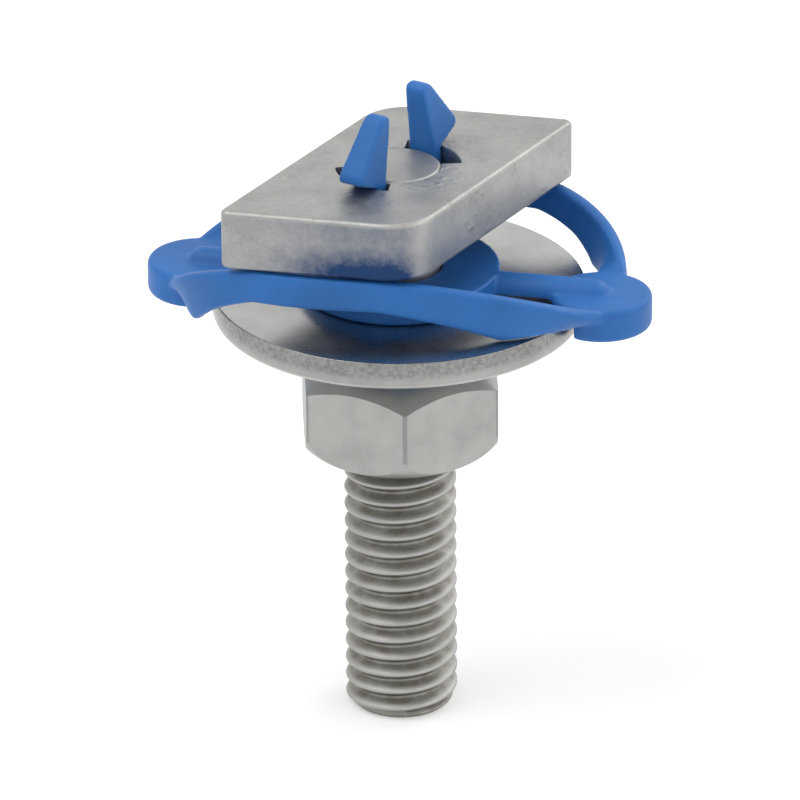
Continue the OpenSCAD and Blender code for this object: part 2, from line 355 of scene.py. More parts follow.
class Finish:
    """A material under construction, with short calls for its nodes."""

    def __init__(self, name):
        self.material = bpy.data.materials.new(name)
        self.material.use_nodes = True
        self.tree = self.material.node_tree
        self.shader = self.tree.nodes["Principled BSDF"]
        self.place = self.tree.nodes.new("ShaderNodeTexCoord").outputs["Object"]

    def link(self, source, target):
        """Joins an output to an input."""
        self.tree.links.new(source, target)

    def into(self, name, value):
        """Feeds one of the shader's inputs from a socket or with a plain value."""
        if isinstance(value, bpy.types.NodeSocket):
            self.link(value, self.shader.inputs[name])
        else:
            self.shader.inputs[name].default_value = value

    def stretched(self, scale):
        """Object coordinates with a scale for each axis."""
        mapping = self.tree.nodes.new("ShaderNodeMapping")
        mapping.inputs["Scale"].default_value = scale
        self.link(self.place, mapping.inputs["Vector"])
        return mapping.outputs["Vector"]

    def noise(self, scale, detail=3.0, rough=0.5, place=None):
        """Clouds of a given grain."""
        node = self.tree.nodes.new("ShaderNodeTexNoise")
        node.inputs["Scale"].default_value = scale
        node.inputs["Detail"].default_value = detail
        node.inputs["Roughness"].default_value = rough
        self.link(place or self.place, node.inputs["Vector"])
        return node.outputs["Fac"]

    def beads(self, scale, size):
        """Round beads scattered at a given grain: 1 at each middle, 0 past its size."""
        node = self.tree.nodes.new("ShaderNodeTexVoronoi")
        node.inputs["Scale"].default_value = scale
        self.link(self.place, node.inputs["Vector"])
        return self.between(node.outputs["Distance"], size, 0.0)

    def ramp(self, factor, *stops):
        """A colour or grey for each place along a factor."""
        node = self.tree.nodes.new("ShaderNodeValToRGB")
        marks = node.color_ramp.elements
        while len(marks) < len(stops):
            marks.new(1.0)
        for mark, (at, colour) in zip(marks, stops):
            mark.position = at
            mark.color = (*colour, 1.0) if hasattr(colour, "__len__") else (colour, colour, colour, 1.0)
        self.link(factor, node.inputs["Fac"])
        return node.outputs["Color"]

    def mix(self, factor, first, second, blend="MIX"):
        """Two colours mixed by a factor, which is a number or a socket."""
        node = self.tree.nodes.new("ShaderNodeMix")
        node.data_type = "RGBA"
        node.blend_type = blend
        sockets = [s for s in node.inputs if s.enabled]
        for socket, value in zip(sockets, (factor, first, second)):
            if isinstance(value, bpy.types.NodeSocket):
                self.link(value, socket)
            elif hasattr(value, "__len__"):
                socket.default_value = (*value, 1.0)
            else:
                socket.default_value = value
        return [s for s in node.outputs if s.enabled][0]

    def toned(self, colour, share):
        """A colour socket made darker or lighter by a share."""
        return self.mix(1.0, colour, (share, share, share), "MULTIPLY")

    def math(self, operation, first, second=None):
        """One sum on two values or sockets."""
        node = self.tree.nodes.new("ShaderNodeMath")
        node.operation = operation
        for socket, value in zip(node.inputs, (first, second)):
            if isinstance(value, bpy.types.NodeSocket):
                self.link(value, socket)
            elif value is not None:
                socket.default_value = value
        return node.outputs["Value"]

    def spread(self, factor, low, high):
        """A factor from 0 to 1 spread over a range."""
        node = self.tree.nodes.new("ShaderNodeMapRange")
        node.inputs["To Min"].default_value = low
        node.inputs["To Max"].default_value = high
        self.link(factor, node.inputs["Value"])
        return node.outputs["Result"]

    def radius(self):
        """Distance from the stud's axis."""
        parts = self.axes()
        squares = [self.math("MULTIPLY", parts[k], parts[k]) for k in "XY"]
        return self.math("SQRT", self.math("ADD", *squares))

    def axes(self):
        """The three coordinates as sockets."""
        parts = self.tree.nodes.new("ShaderNodeSeparateXYZ")
        self.link(self.place, parts.inputs["Vector"])
        return parts.outputs

    def height(self):
        """Height above the stud's end."""
        return self.axes()["Z"]

    def between(self, value, low, high):
        """0 below a range, 1 above it and a smooth rise between."""
        node = self.tree.nodes.new("ShaderNodeMapRange")
        node.interpolation_type = "SMOOTHSTEP"
        node.inputs["From Min"].default_value = low
        node.inputs["From Max"].default_value = high
        self.link(value, node.inputs["Value"])
        return node.outputs["Result"]

    def bump(self, height, strength, distance, under=None):
        """Small relief, over an earlier one if given."""
        node = self.tree.nodes.new("ShaderNodeBump")
        node.inputs["Strength"].default_value = strength
        node.inputs["Distance"].default_value = distance
        self.link(height, node.inputs["Height"])
        if under:
            self.link(under, node.inputs["Normal"])
        return node.outputs["Normal"]


def shade(colour, share):
    """A colour made darker or lighter by a share."""
    return [min(1.0, share * c) for c in colour]


def steel_base(name, colour, rough, grain=(1, 1, 1)):
    """Satin steel: mottled tone, uneven gloss and a fine drawn grain."""
    steel = Finish(name)
    steel.into("Metallic", 1.0)
    tone = steel.noise(420.0, detail=5.0, rough=0.6)
    mottled = steel.ramp(tone, (0.32, shade(colour, 0.86)), (0.52, list(colour)), (0.72, shade(colour, 1.09)))
    fine = steel.noise(5200.0, detail=2.0, place=steel.stretched(grain))
    steel.into("Roughness", steel.spread(steel.noise(900.0, detail=4.0), *rough))
    relief = steel.bump(fine, 0.16, 0.012 * MM)
    steel.into("Normal", relief)
    return steel, mottled, relief


def stud_steel(finish, sizes):
    """Rolled thread: crests in plain steel, and brown residue in the roots and up the lower flanks that is
    partly grime and partly painted shade.
    """
    steel, mottled, _ = steel_base("stud_steel", finish.steel, (0.42, 0.58), (1, 1, 0.3))
    # Grime and painted shade: dark brown over the roots and lower flanks, fading out just under the crests
    soiled_to = sizes.crest - sizes.depth * 0.60
    bright_from = sizes.crest - sizes.depth * 0.03
    from_root = steel.between(steel.radius(), soiled_to, bright_from)
    patches = steel.ramp(steel.noise(900.0, detail=5.0, rough=0.6), (0.35, 0.45), (0.65, 1.0))
    keep = steel.math("MULTIPLY", steel.math("SUBTRACT", 1.0, from_root), patches)
    at_neck = steel.between(steel.height(), WASHER_HIGH.z - MM, WASHER_HIGH.z)
    below_neck = steel.math("SUBTRACT", 1.0, at_neck)
    grime_and_painted_shade = steel.mix(steel.math("MULTIPLY", keep, below_neck), mottled, list(finish.grime_and_shade))
    steel.into("Base Color", grime_and_painted_shade)
    return steel.material


def head_steel(finish):
    """Pressed plate: nicks, beads beside the stud, shallow dents and a painted blue reflection of the clip
    low on its walls.
    """
    steel, mottled, relief = steel_base("head_steel", finish.steel, (0.38, 0.54))
    speckle = steel.spread(steel.noise(5200.0, detail=3.0, rough=0.6), 0.80, 1.16)
    nicks = steel.ramp(steel.noise(1300.0, detail=1.0), (0.24, 0.0), (0.32, 1.0))
    beside_stud = steel.between(steel.radius(), 6.2 * MM, 4.2 * MM)
    lumps = steel.math("MULTIPLY", steel.beads(1700.0, 0.42), beside_stud)
    dents = steel.noise(260.0, detail=2.0)
    relief = steel.bump(nicks, 0.5, 0.03 * MM, relief)
    relief = steel.bump(lumps, 0.6, 0.05 * MM, relief)
    relief = steel.bump(dents, 0.3, 0.05 * MM, relief)
    steel.into("Normal", relief)
    # Painted reflection: the blue clip's reflection painted dark blue, deepest low down on the short walls
    # and towards the blunt corners
    place = steel.axes()
    towards = steel.math("MULTIPLY", place["X"], place["Y"])
    blunt = steel.between(towards, 52.0 * MM * MM, -5.0 * MM * MM)
    low = steel.between(place["Z"], HEAD_HIGH.z - 1.2 * MM, HEAD_LOW.z + 0.3 * MM)
    wall = steel.between(place["Z"], HEAD_HIGH.z - 0.1 * MM, HEAD_HIGH.z - 0.3 * MM)
    sideways = steel.math("ABSOLUTE", place["Y"])
    short_wall = steel.between(sideways, HEAD_HIGH.y - MM, HEAD_HIGH.y - 0.1 * MM)
    painted_reflection = steel.math("MULTIPLY", steel.spread(short_wall, 0.17, 1.10), steel.spread(low, 0.32, 1.0))
    painted_reflection = steel.math("ADD", steel.math("MULTIPLY", painted_reflection, blunt), steel.math("MULTIPLY", short_wall, 0.14))
    patches = steel.spread(steel.noise(1500.0, detail=7.0, rough=0.75), 0.30, 1.70)
    patchy = steel.math("MULTIPLY", painted_reflection, patches)
    worn = steel.mix(1.0, steel.mix(0.10, mottled, nicks, "MULTIPLY"), speckle, "MULTIPLY")
    # The plate's colour with the painted blue reflection of the clip mixed in
    tinted = steel.mix(steel.math("MULTIPLY", patchy, wall), worn, list(finish.painted_reflection))
    steel.into("Base Color", tinted)
    return steel.material


def washer_steel(finish):
    """Stamped washer: satin faces, a torn band on the wall, a smooth rolled rim, and painted light: faces
    painted lighter and the outer wall painted darker.
    """
    steel, mottled, relief = steel_base("washer_steel", finish.steel, (0.22, 0.36))
    on_wall = steel.between(steel.radius(), WASHER_HIGH.x - 0.10 * MM, WASHER_HIGH.x - 0.03 * MM)
    upper = steel.between(steel.height(), WASHER_HIGH.z - 1.15 * MM, WASHER_HIGH.z - 0.6 * MM)
    torn_band = steel.math("MULTIPLY", on_wall, upper)
    tear = steel.noise(4600.0, detail=4.0, rough=0.6)
    relief = steel.bump(steel.math("MULTIPLY", tear, torn_band), 0.5, 0.04 * MM, relief)
    steel.into("Normal", relief)
    torn = steel.ramp(tear, (0.35, 0.55), (0.62, 0.84))
    # Painted light and shade: the flat faces and bore painted lighter, the outer wall painted darker
    face = steel.toned(mottled, 1.12)
    wall = steel.toned(mottled, 0.86)
    toned = steel.mix(on_wall, face, wall)
    steel.into("Base Color", steel.mix(torn_band, toned, steel.mix(1.0, toned, torn, "MULTIPLY")))
    return steel.material


def nut_steel(finish, sizes):
    """Cold-formed nut: satin flats with faint upright streaks, darker along the upright corners."""
    steel, mottled, relief = steel_base("nut_steel", finish.steel, (0.34, 0.48), (1, 1, 0.12))
    streak = steel.noise(1600.0, detail=3.0, place=steel.stretched((1, 1, 0.15)))
    relief = steel.bump(streak, 0.25, 0.02 * MM, relief)
    steel.into("Normal", relief)
    corner = sizes.flats / 2 / math.cos(math.pi / 6)
    # The colour is darker along the six rounded upright corners
    upright = steel.between(steel.radius(), corner - 0.09 * MM, corner - 0.05 * MM)
    pale = steel.toned(mottled, 0.94)
    darker_corners = steel.toned(mottled, 0.66)
    steel.into("Base Color", steel.mix(upright, pale, darker_corners))
    return steel.material


def clip_plastic(finish):
    """Moulded plastic: satin blue with a soft sheen and a faint tool texture."""
    plastic = Finish("clip_plastic")
    cloud = plastic.noise(260.0, detail=3.0)
    mottled = plastic.ramp(cloud, (0.35, shade(finish.blue, 0.90)), (0.65, shade(finish.blue, 1.10)))
    plastic.into("Base Color", mottled)
    plastic.into("Roughness", plastic.spread(plastic.noise(1200.0), 0.42, 0.56))
    plastic.into("IOR", 1.45)
    plastic.into("Subsurface Weight", 0.08)
    plastic.into("Subsurface Radius", (0.2, 0.4, 1.0))
    plastic.into("Subsurface Scale", 0.4 * MM)
    grain = plastic.bump(plastic.noise(4200.0, detail=2.0), 0.12, 0.01 * MM)
    plastic.into("Normal", grain)
    return plastic.material


# Pieces

# Half a pitch of the thread, as (share of the pitch, share of the depth) from root to crest
RISING_FLANK = ((0.0, 0.0), (0.06, 0.02), (0.12, 0.12), (0.26, 0.50), (0.385, 0.86), (0.43, 0.96),
                (0.47, 0.995))
# Turns beyond each end, which are cut off again
SPARE_TURNS = 2


class TBOLT_OT_stud(bpy.types.Operator):
    """Rolled thread with a chamfered end and a plain neck staked into the plate"""
    bl_idname = "tbolt.stud"
    bl_label = "Threaded stud"

    def thread(self, sizes, top):
        """Screws one pitch of the thread's profile up the stud."""
        share = RISING_FLANK + tuple((1 - z, d) for z, d in reversed(RISING_FLANK))
        root = sizes.crest - sizes.depth
        start = -SPARE_TURNS * sizes.pitch
        profile = [(root + sizes.depth * d, 0, start + sizes.pitch * z) for z, d in share]
        piece = trace("threaded_stud", profile)
        turns = math.ceil((top - start) / sizes.pitch) + SPARE_TURNS
        use_modifier(piece, "SCREW", axis="Z", angle=TAU, screw_offset=sizes.pitch, iterations=turns,
                     steps=sizes.steps, render_steps=sizes.steps, use_merge_vertices=True,
                     merge_threshold=WELD, use_normal_calculate=True)
        edit(piece)
        bpy.ops.mesh.remove_doubles(threshold=WELD)
        bpy.ops.transform.rotate(value=sizes.phase, orient_axis="Z", center_override=(0, 0, 0))
        for height, side in ((0.0, 1), (top, -1)):
            bpy.ops.mesh.select_all(action="SELECT")
            bpy.ops.mesh.bisect(plane_co=(0, 0, height), plane_no=(0, 0, side), use_fill=True,
                                clear_inner=True, threshold=SLICE)
        tidy_normals(piece)
        return piece

    def shape_ends(self, piece, sizes, top):
        """Draws the thread in to a cone at both ends and lets its groove run out at the free one."""
        for vertex in piece.data.vertices:
            out = math.hypot(vertex.co.x, vertex.co.y)
            from_end = sizes.crest - sizes.chamfer + vertex.co.z
            from_neck = sizes.neck + (top - vertex.co.z)
            limit = min(from_end, from_neck)
            # The groove is full over the chamfer's lower half and opens over its upper
            filled = min(1, max(0, 2 - 2 * vertex.co.z / sizes.chamfer))
            wanted = limit if out > limit else out + (limit - out) * filled
            if out > sizes.neck / 2:
                vertex.co.x *= wanted / out
                vertex.co.y *= wanted / out

    def execute(self, context):
        scene = context.scene
        sizes = scene.tbolt_stud
        top = WASHER_HIGH.z
        piece = self.thread(sizes, top)
        self.shape_ends(piece, sizes, top)
        staked = 0.12 * MM
        high = STUD_HIGH.z
        neck = turn_on_lathe("neck", [(0, top - MM), (sizes.neck, top - MM), (sizes.neck, high - staked),
                                      (sizes.neck - staked, high), (0, high)])
        cut(piece, neck, "UNION")
        smooth(piece, 40)
        hand_over(piece, "stud", "bolt", stud_steel(scene.tbolt_finish, sizes))
        return {"FINISHED"}


# Room between the neck and the plate's hole, and the rounding of the hole's and the slots' edges
HOLE_GAP = 0.03 * MM
SLOT_EDGE = 0.06 * MM


class TBOLT_OT_head_plate(bpy.types.Operator):
    """Parallelogram plate with worn edges and two slots beside the stud"""
    bl_idname = "tbolt.head_plate"
    bl_label = "Head plate"

    def outline(self, sizes):
        """Corner points of the plate, each rounded by an arc."""
        along = Vector((sizes.short / 2, 0))
        across = Vector((math.cos(sizes.slant), math.sin(sizes.slant))) * sizes.long / 2
        corners = [-along - across, along - across, along + across, across - along]
        points = []
        for i, corner in enumerate(corners):
            radius = sizes.sharp if i % 2 == 0 else sizes.blunt
            back = (corners[i - 1] - corner).normalized()
            ahead = (corners[(i + 1) % 4] - corner).normalized()
            half = back.angle(ahead) / 2
            centre = corner + (back + ahead).normalized() * radius / math.sin(half)
            middle = math.degrees(math.atan2(corner.y - centre.y, corner.x - centre.x))
            sweep = 90 - math.degrees(half)
            points += arc(centre, radius, middle - sweep, middle + sweep, steps=12)
        return points

    def ear_slot(self, sizes, neck, start):
        """A solid that cuts one round slot beside the stud."""
        low, high = HEAD_LOW.z - MM, HEAD_HIGH.z + MM
        into_hole = 0.3 * MM
        inner = neck - into_hole
        side = [(inner, 0, low), (sizes.slot_outer, 0, low), (sizes.slot_outer, 0, high), (inner, 0, high)]
        tool = trace("slot_tool", side, fill=True)
        bpy.ops.mesh.spin(steps=32, angle=-sizes.slot_sweep, center=(0, 0, 0), axis=(0, 0, 1))
        tidy_normals(tool)
        edit(tool)
        bpy.ops.transform.rotate(value=-start, orient_axis="Z", center_override=(0, 0, 0))
        deselect()
        return tool

    def execute(self, context):
        scene = context.scene
        sizes = scene.tbolt_head
        neck = scene.tbolt_stud.neck
        # The outline is rounded first: the slots' short edges would hold the rounding back
        piece = trace("head_plate_steel", [(x, y, HEAD_LOW.z) for x, y in self.outline(sizes)], fill=True)
        rise = Vector((0, 0, HEAD_HIGH.z - HEAD_LOW.z))
        bpy.ops.mesh.extrude_region_move(TRANSFORM_OT_translate={"value": rise})
        tidy_normals(piece)
        round_edges(piece, sizes.edge, segments=4, angle=40)
        for start in (sizes.slot_from, sizes.slot_from + math.pi):
            cut(piece, self.ear_slot(sizes, neck, start))
        hole = neck + HOLE_GAP
        low, high = HEAD_LOW.z - MM, HEAD_HIGH.z + MM
        cut(piece, turn_on_lathe("hole_tool", [(0, low), (hole, low), (hole, high), (0, high)]))
        round_edges(piece, SLOT_EDGE, segments=2, angle=40)
        smooth(piece, 60)
        even_normals(piece)
        hand_over(piece, "head_plate", "bolt", head_steel(scene.tbolt_finish))
        return {"FINISHED"}


class TBOLT_OT_washer(bpy.types.Operator):
    """Wide washer with a crisp upper rim and a rolled lower rim"""
    bl_idname = "tbolt.washer"
    bl_label = "Washer"

    def execute(self, context):
        scene = context.scene
        sizes = scene.tbolt_washer
        low, high, out = WASHER_LOW.z, WASHER_HIGH.z, WASHER_HIGH.x
        edge = sizes.edge
        bore = sizes.bore
        profile = [(bore + edge, high), (bore, high - edge), (bore, low + edge), (bore + edge, low)]
        profile += arc((out - sizes.rim, low + sizes.rim), sizes.rim, 270, 360, steps=8)
        profile += arc((out - edge, high - edge), edge, 0, 90, steps=3)
        piece = turn_on_lathe("washer_steel", profile, steps=192, close=True)
        smooth(piece, 40)
        hand_over(piece, "washer", "bolt", washer_steel(scene.tbolt_finish))
        return {"FINISHED"}


class TBOLT_OT_nut(bpy.types.Operator):
    """Hex nut with chamfered corners, rounded edges and a countersunk bore"""
    bl_idname = "tbolt.nut"
    bl_label = "Hex nut"

    def round_corners(self, piece, sizes):
        """Rounds the six upright edges."""
        edit(piece)
        bpy.ops.mesh.select_all(action="DESELECT")
        bpy.ops.object.mode_set(mode="OBJECT")
        mesh = piece.data
        for edge in mesh.edges:
            ends = [mesh.vertices[i].co for i in edge.vertices]
            edge.select = abs(ends[0].z - ends[1].z) > MM
        bpy.ops.object.mode_set(mode="EDIT")
        bpy.ops.mesh.select_mode(type="EDGE")
        bpy.ops.mesh.bevel(offset=sizes.corner, segments=5, affect="EDGES")
        deselect()

    def forged_corner(self, sizes, corner, low, high):
        """Profile of the chamfers: crisp under the washer, drawn to a soft curve below."""
        face, foot = sizes.flats / 2 * sizes.face, sizes.flats / 2 * sizes.foot
        slope = math.tan(sizes.slope)
        drop, rise = (corner - face) * slope, (corner - foot) * slope
        clear = 0.01 * MM
        out = corner + clear
        start = Vector((foot, low))
        bend = Vector((out - 0.1 * MM, low + 0.75 * rise))
        end = Vector((out, low + 2.4 * rise))
        steps = 10
        curve = []
        for i in range(steps + 1):
            t = i / steps
            curve.append(tuple(start * (1 - t) ** 2 + bend * 2 * t * (1 - t) + end * t * t))
        return [(0, low), *curve, (out, high - drop), (face, high), (0, high)]

    def execute(self, context):
        scene = context.scene
        sizes = scene.tbolt_nut
        low, high = NUT_LOW.z, NUT_HIGH.z
        corner = sizes.flats / 2 / math.cos(math.pi / 6)
        deselect()
        bpy.ops.mesh.primitive_cylinder_add(vertices=6, radius=corner, depth=high - low,
                                            location=(0, 0, (low + high) / 2))
        piece = bpy.context.object
        piece.name = "hex_nut_steel"
        bpy.ops.object.transform_apply(location=True, rotation=True, scale=True)
        self.round_corners(piece, sizes)
        edit(piece)
        # A cylinder's first corner lies on +Y
        turn = sizes.turn - math.pi / 2
        bpy.ops.transform.rotate(value=-turn, orient_axis="Z", center_override=(0, 0, 0))
        deselect()
        cone = turn_on_lathe("chamfer_tool", self.forged_corner(sizes, corner, low, high))
        cut(piece, cone, "INTERSECT")
        bore, lead = sizes.bore, sizes.lead
        mouth = bore + lead
        profile = [(0, low - MM), (mouth, low - MM), (mouth, low), (bore, low + lead),
                   (bore, high - lead), (mouth, high), (mouth, high + MM), (0, high + MM)]
        cut(piece, turn_on_lathe("bore_tool", profile))
        round_edges(piece, sizes.edge, segments=2, angle=25)
        smooth(piece, 40)
        even_normals(piece)
        hand_over(piece, "hex_nut", "nut", nut_steel(scene.tbolt_finish, sizes))
        return {"FINISHED"}


# The strips' band: points round its oval, the powers that its edges bow by, the share of its half
# width at which the twist ends, and the upper edge's outward shift as a share of the twist
BAND_STEPS = 320
UPPER_BOW = 1.15
LOWER_BOW = 2.1
TWIST_TO = 0.9
FLARE = 0.4


class TBOLT_OT_clip(bpy.types.Operator):
    """Moulded clip: hub, spokes, end pads, bowed strips and snap ears, fused with soft fillets"""
    bl_idname = "tbolt.clip"
    bl_label = "Spring clip"

    def rim_room(self, ends):
        """A solid that keeps the pads and the strips' bends clear of the washer's rim."""
        room = WASHER_HIGH.x + 0.3 * MM
        low, high = ends["low"] - MM, ends["clear"]
        return turn_on_lathe("rim_tool", [(0, low), (room, low), (room, high), (0, high)])

    def strips(self, sizes, ends):
        """Both bowed strips: an upright oval band whose two edges rise away from the clip's long axis."""
        wide = sizes.strip_span / 2
        top = ends["washer"] + sizes.crown
        arch = top - ends["low"]
        # Inside the pads the band stays this high, and at least this tall
        lowest = (ends["low"] + ends["high"]) / 2 - 0.1 * MM
        least_tall = 0.2 * MM
        along, across = math.cos(sizes.turn), math.sin(sizes.turn)
        points = []
        for i in range(BAND_STEPS):
            t = TAU * (i + 0.5) / BAND_STEPS
            shape = [math.copysign(abs(f) ** (2 / sizes.power), f) for f in (math.cos(t), math.sin(t))]
            x, y = ends["oval"] * shape[0], wide * shape[1]
            points.append((x * along - y * across, x * across + y * along, 0))
        piece = trace("clip_strips", points, close=True)
        bpy.ops.mesh.select_all(action="SELECT")
        bpy.ops.mesh.extrude_region_move(TRANSFORM_OT_translate={"value": (0, 0, MM)})
        tidy_normals(piece)
        for vertex in piece.data.vertices:
            share = min(1, abs(vertex.co.y) / wide)
            upper = max(lowest + least_tall, top - arch * (1 - share ** UPPER_BOW))
            lower = max(lowest, top - sizes.strip_tall - arch * (1 - share ** LOWER_BOW))
            shift = math.copysign(sizes.twist * max(0, TWIST_TO - share), vertex.co.x)
            if vertex.co.z > MM / 2:
                vertex.co.z = upper
                vertex.co.x += FLARE * shift
            else:
                vertex.co.x -= shift
                past_rim = math.hypot(vertex.co.x, vertex.co.y) - sizes.strip_thick / 2 - WASHER_HIGH.x
                # 1 up to 0.3 mm past the rim, 0 from 0.7 mm
                over_rim = min(1, max(0, 1.75 - 2.5 * past_rim / MM))
                vertex.co.z = lower + max(0, ends["clear"] - lower) * over_rim
        use_modifier(piece, "SOLIDIFY", thickness=sizes.strip_thick, offset=0.0, use_even_offset=True)
        round_edges(piece, sizes.edge, segments=3, angle=50, clamp=False)
        cut(piece, self.rim_room(ends))
        return piece

    def pads(self, sizes, ends):
        """Round end pads, cut back round the washer's rim."""
        low, high = ends["low"], ends["high"]
        profile = [(0, low), (sizes.pad, low), (sizes.pad, high), (0, high)]
        made = []
        for side in (-1, 1):
            pad = turn_on_lathe("clip_pad", profile, steps=64)
            edit(pad)
            bpy.ops.transform.translate(value=(side * ends["centre"], 0, 0))
            deselect()
            round_edges(pad, sizes.edge, segments=3, angle=50)
            cut(pad, self.rim_room(ends))
            made.append(pad)
        return made

    def spokes(self, sizes, ends):
        """Round-topped spokes from the hub to domed ends on the pads."""
        made = []
        start = sizes.hub - MM
        short_of_centre = 0.35 * MM
        above_clear = 0.12 * MM
        dome = arc((0, ends["centre"] - short_of_centre), sizes.spoke, 0, 90, steps=10)
        profile = [(0, start), (sizes.spoke, start), *dome]
        for side in (-1, 1):
            spoke = turn_on_lathe("clip_spoke", profile, steps=48, axis=(1, 0, 0))
            edit(spoke)
            if side < 0:
                bpy.ops.transform.rotate(value=math.pi, orient_axis="Z", center_override=(0, 0, 0))
            bpy.ops.transform.translate(value=(0, 0, ends["hub_top"] - sizes.spoke))
            bpy.ops.mesh.bisect(plane_co=(0, 0, ends["clear"] + above_clear), plane_no=(0, 0, 1),
                                use_fill=True, clear_inner=True, threshold=SLICE)
            tidy_normals(spoke)
            made.append(spoke)
        return made

    def hub(self, sizes, ends, neck, crest):
        """Disc on the washer with a sleeve and a snap bead through it."""
        bore, sleeve_bore = neck + 0.05 * MM, crest + 0.1 * MM
        step = ends["washer"] + sizes.hub_thick / 2
        under = ends["washer"] + 0.03 * MM
        sleeve, bead = sizes.sleeve, sizes.sleeve + 0.45 * MM
        bead_high = WASHER_LOW.z - 0.05 * MM
        bead_low = WASHER_LOW.z - 0.45 * MM
        end = WASHER_LOW.z - 0.9 * MM
        profile = [(bore, ends["hub_top"]), (bore, step), (sleeve_bore, step), (sleeve_bore, end),
                   (sleeve, end), (bead, bead_low), (bead, bead_high), (sleeve, bead_high), (sleeve, under),
                   (sizes.hub, under), (sizes.hub, ends["hub_top"])]
        return turn_on_lathe("clip_hub", profile, close=True)

    def ears(self, sizes, ends, neck):
        """Snap ears: a stem beside the stud with a barb that tapers to its nose."""
        inner = neck + 0.1 * MM
        stem = inner + 0.85 * MM
        reach = 1.7 * MM
        foot = ends["hub_top"] - 0.3 * MM
        barb = HEAD_HIGH.z + 0.7 * MM
        top = CLIP_HIGH.z
        nose = MM
        under = HEAD_HIGH.z
        side = [(inner, foot), (stem, foot), (stem, under), (stem + reach, barb),
                (stem + reach, barb + reach / 4), (inner + nose, top - nose / 4),
                (inner + nose * 3 / 4, top), (inner + nose / 4, top), (inner, top - nose / 4), (inner, under)]
        bend = sizes.ear_lean / (top - under)
        side = [(x - bend * max(0, z - under), z) for x, z in side]
        half = sizes.ear_wide / 2
        # One flank of an ear slants in from the barb to its narrow tip
        slant = Vector((0, top + MM - barb, sizes.ear_tip - sizes.ear_wide))
        made = []
        for turn in (sizes.ear_angle, sizes.ear_angle + math.pi):
            ear = trace("clip_ear", [(x, -half, z) for x, z in side], fill=True)
            bpy.ops.mesh.extrude_region_move(TRANSFORM_OT_translate={"value": (0, sizes.ear_wide, 0)})
            bpy.ops.mesh.select_all(action="SELECT")
            bpy.ops.mesh.bisect(plane_co=(0, -half, barb), plane_no=slant, use_fill=True, clear_inner=True,
                                threshold=SLICE)
            tidy_normals(ear)
            round_edges(ear, sizes.edge / 2, segments=2, angle=40)
            edit(ear)
            bpy.ops.transform.rotate(value=-turn, orient_axis="Z", center_override=(0, 0, 0))
            deselect()
            made.append(ear)
        return made

    def execute(self, context):
        scene = context.scene
        sizes = scene.tbolt_clip
        washer = WASHER_HIGH.z
        high = washer + sizes.pad_rise
        centre = CLIP_HIGH.x - sizes.pad
        # Heights and distances that the clip's parts share: "clear" is just above the washer's rim
        ends = {
            "washer": washer,
            "high": high,
            "low": high - sizes.pad_thick,
            "clear": washer + 0.12 * MM,
            "centre": centre,
            "oval": centre + 0.7 * MM,
            "hub_top": washer + sizes.hub_thick,
        }
        stud = scene.tbolt_stud
        parts = [self.hub(sizes, ends, stud.neck, stud.crest), self.strips(sizes, ends)]
        parts += self.pads(sizes, ends) + self.spokes(sizes, ends) + self.ears(sizes, ends, stud.neck)
        piece = parts[0]
        pick(piece)
        for part in parts[1:]:
            part.select_set(True)
        bpy.ops.object.join()
        piece.name = "retaining_clip_moulding"
        # The parts become one skin, and the smoothing leaves a fillet in each join
        use_modifier(piece, "REMESH", mode="VOXEL", voxel_size=sizes.voxel, use_smooth_shade=True)
        use_modifier(piece, "SMOOTH", factor=0.5, iterations=7)
        smooth(piece, 60)
        hand_over(piece, "retaining_clip", "bolt", clip_plastic(scene.tbolt_finish))
        return {"FINISHED"}


# Soft boxes: name, place and size in metres, power in watts
LAMPS = (
    ("key_light", (-0.30, -0.15, 0.65), 0.45, 1.4),
    ("fill_light", (0.60, -0.10, 0.35), 0.50, 0.7),
    ("back_light", (0.35, 0.50, 0.45), 0.45, 1.0),
)


